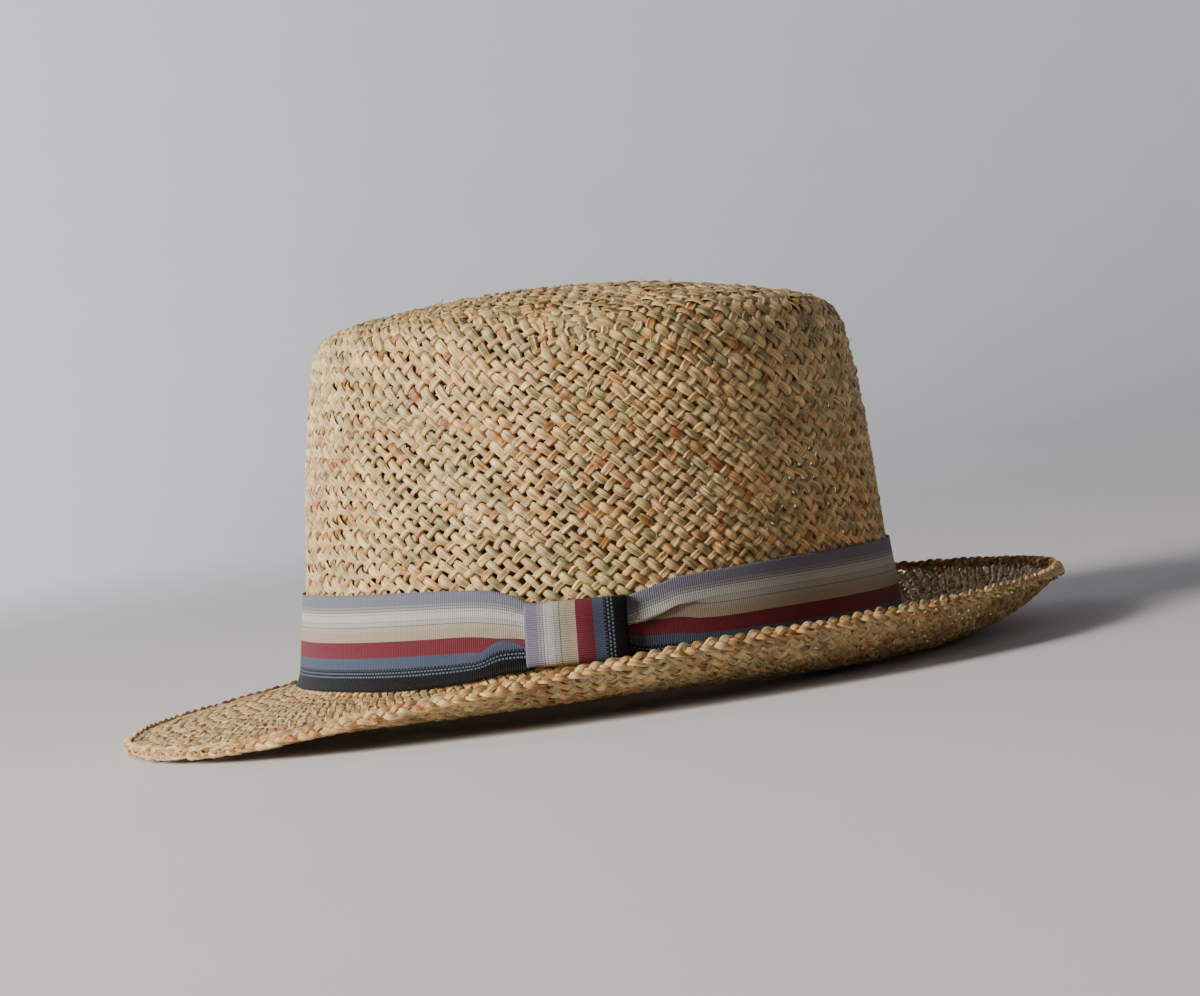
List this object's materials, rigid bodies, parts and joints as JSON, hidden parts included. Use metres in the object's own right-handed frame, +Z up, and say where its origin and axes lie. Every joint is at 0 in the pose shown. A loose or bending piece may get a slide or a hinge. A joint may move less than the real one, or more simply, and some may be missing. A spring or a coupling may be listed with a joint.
{
  "type": "woven straw hat with ribbon band",
  "caption": "Openwork seagrass hat with a raised oval crown, a plaited brim edge and a striped ribbon gathered through a flat knot.",
  "frame": {"origin": "middle of the hat's plan, on the plane that the brim rests on", "axes": "+Z up out of the crown, +Y towards the back of the hat, -Y towards the front of its brim, +X towards the knot on the wearer's left"},
  "size_m": [0.3022, 0.3385, 0.1414],
  "materials": {
    "straw": "woven dried seagrass, matte with a faint gloss",
    "plait": "plaited dried seagrass, matte",
    "ribbon": "ribbed ribbon with lengthwise stripes, matte",
    "knot": "ribbed ribbon with upright stripes, matte"
  },
  "bodies": {
    "root": {"woven_hood": "straw", "plaited_edge": "plait", "ribbon_band": "ribbon", "ribbon_knot": "knot"}
  },
  "joints": []
}
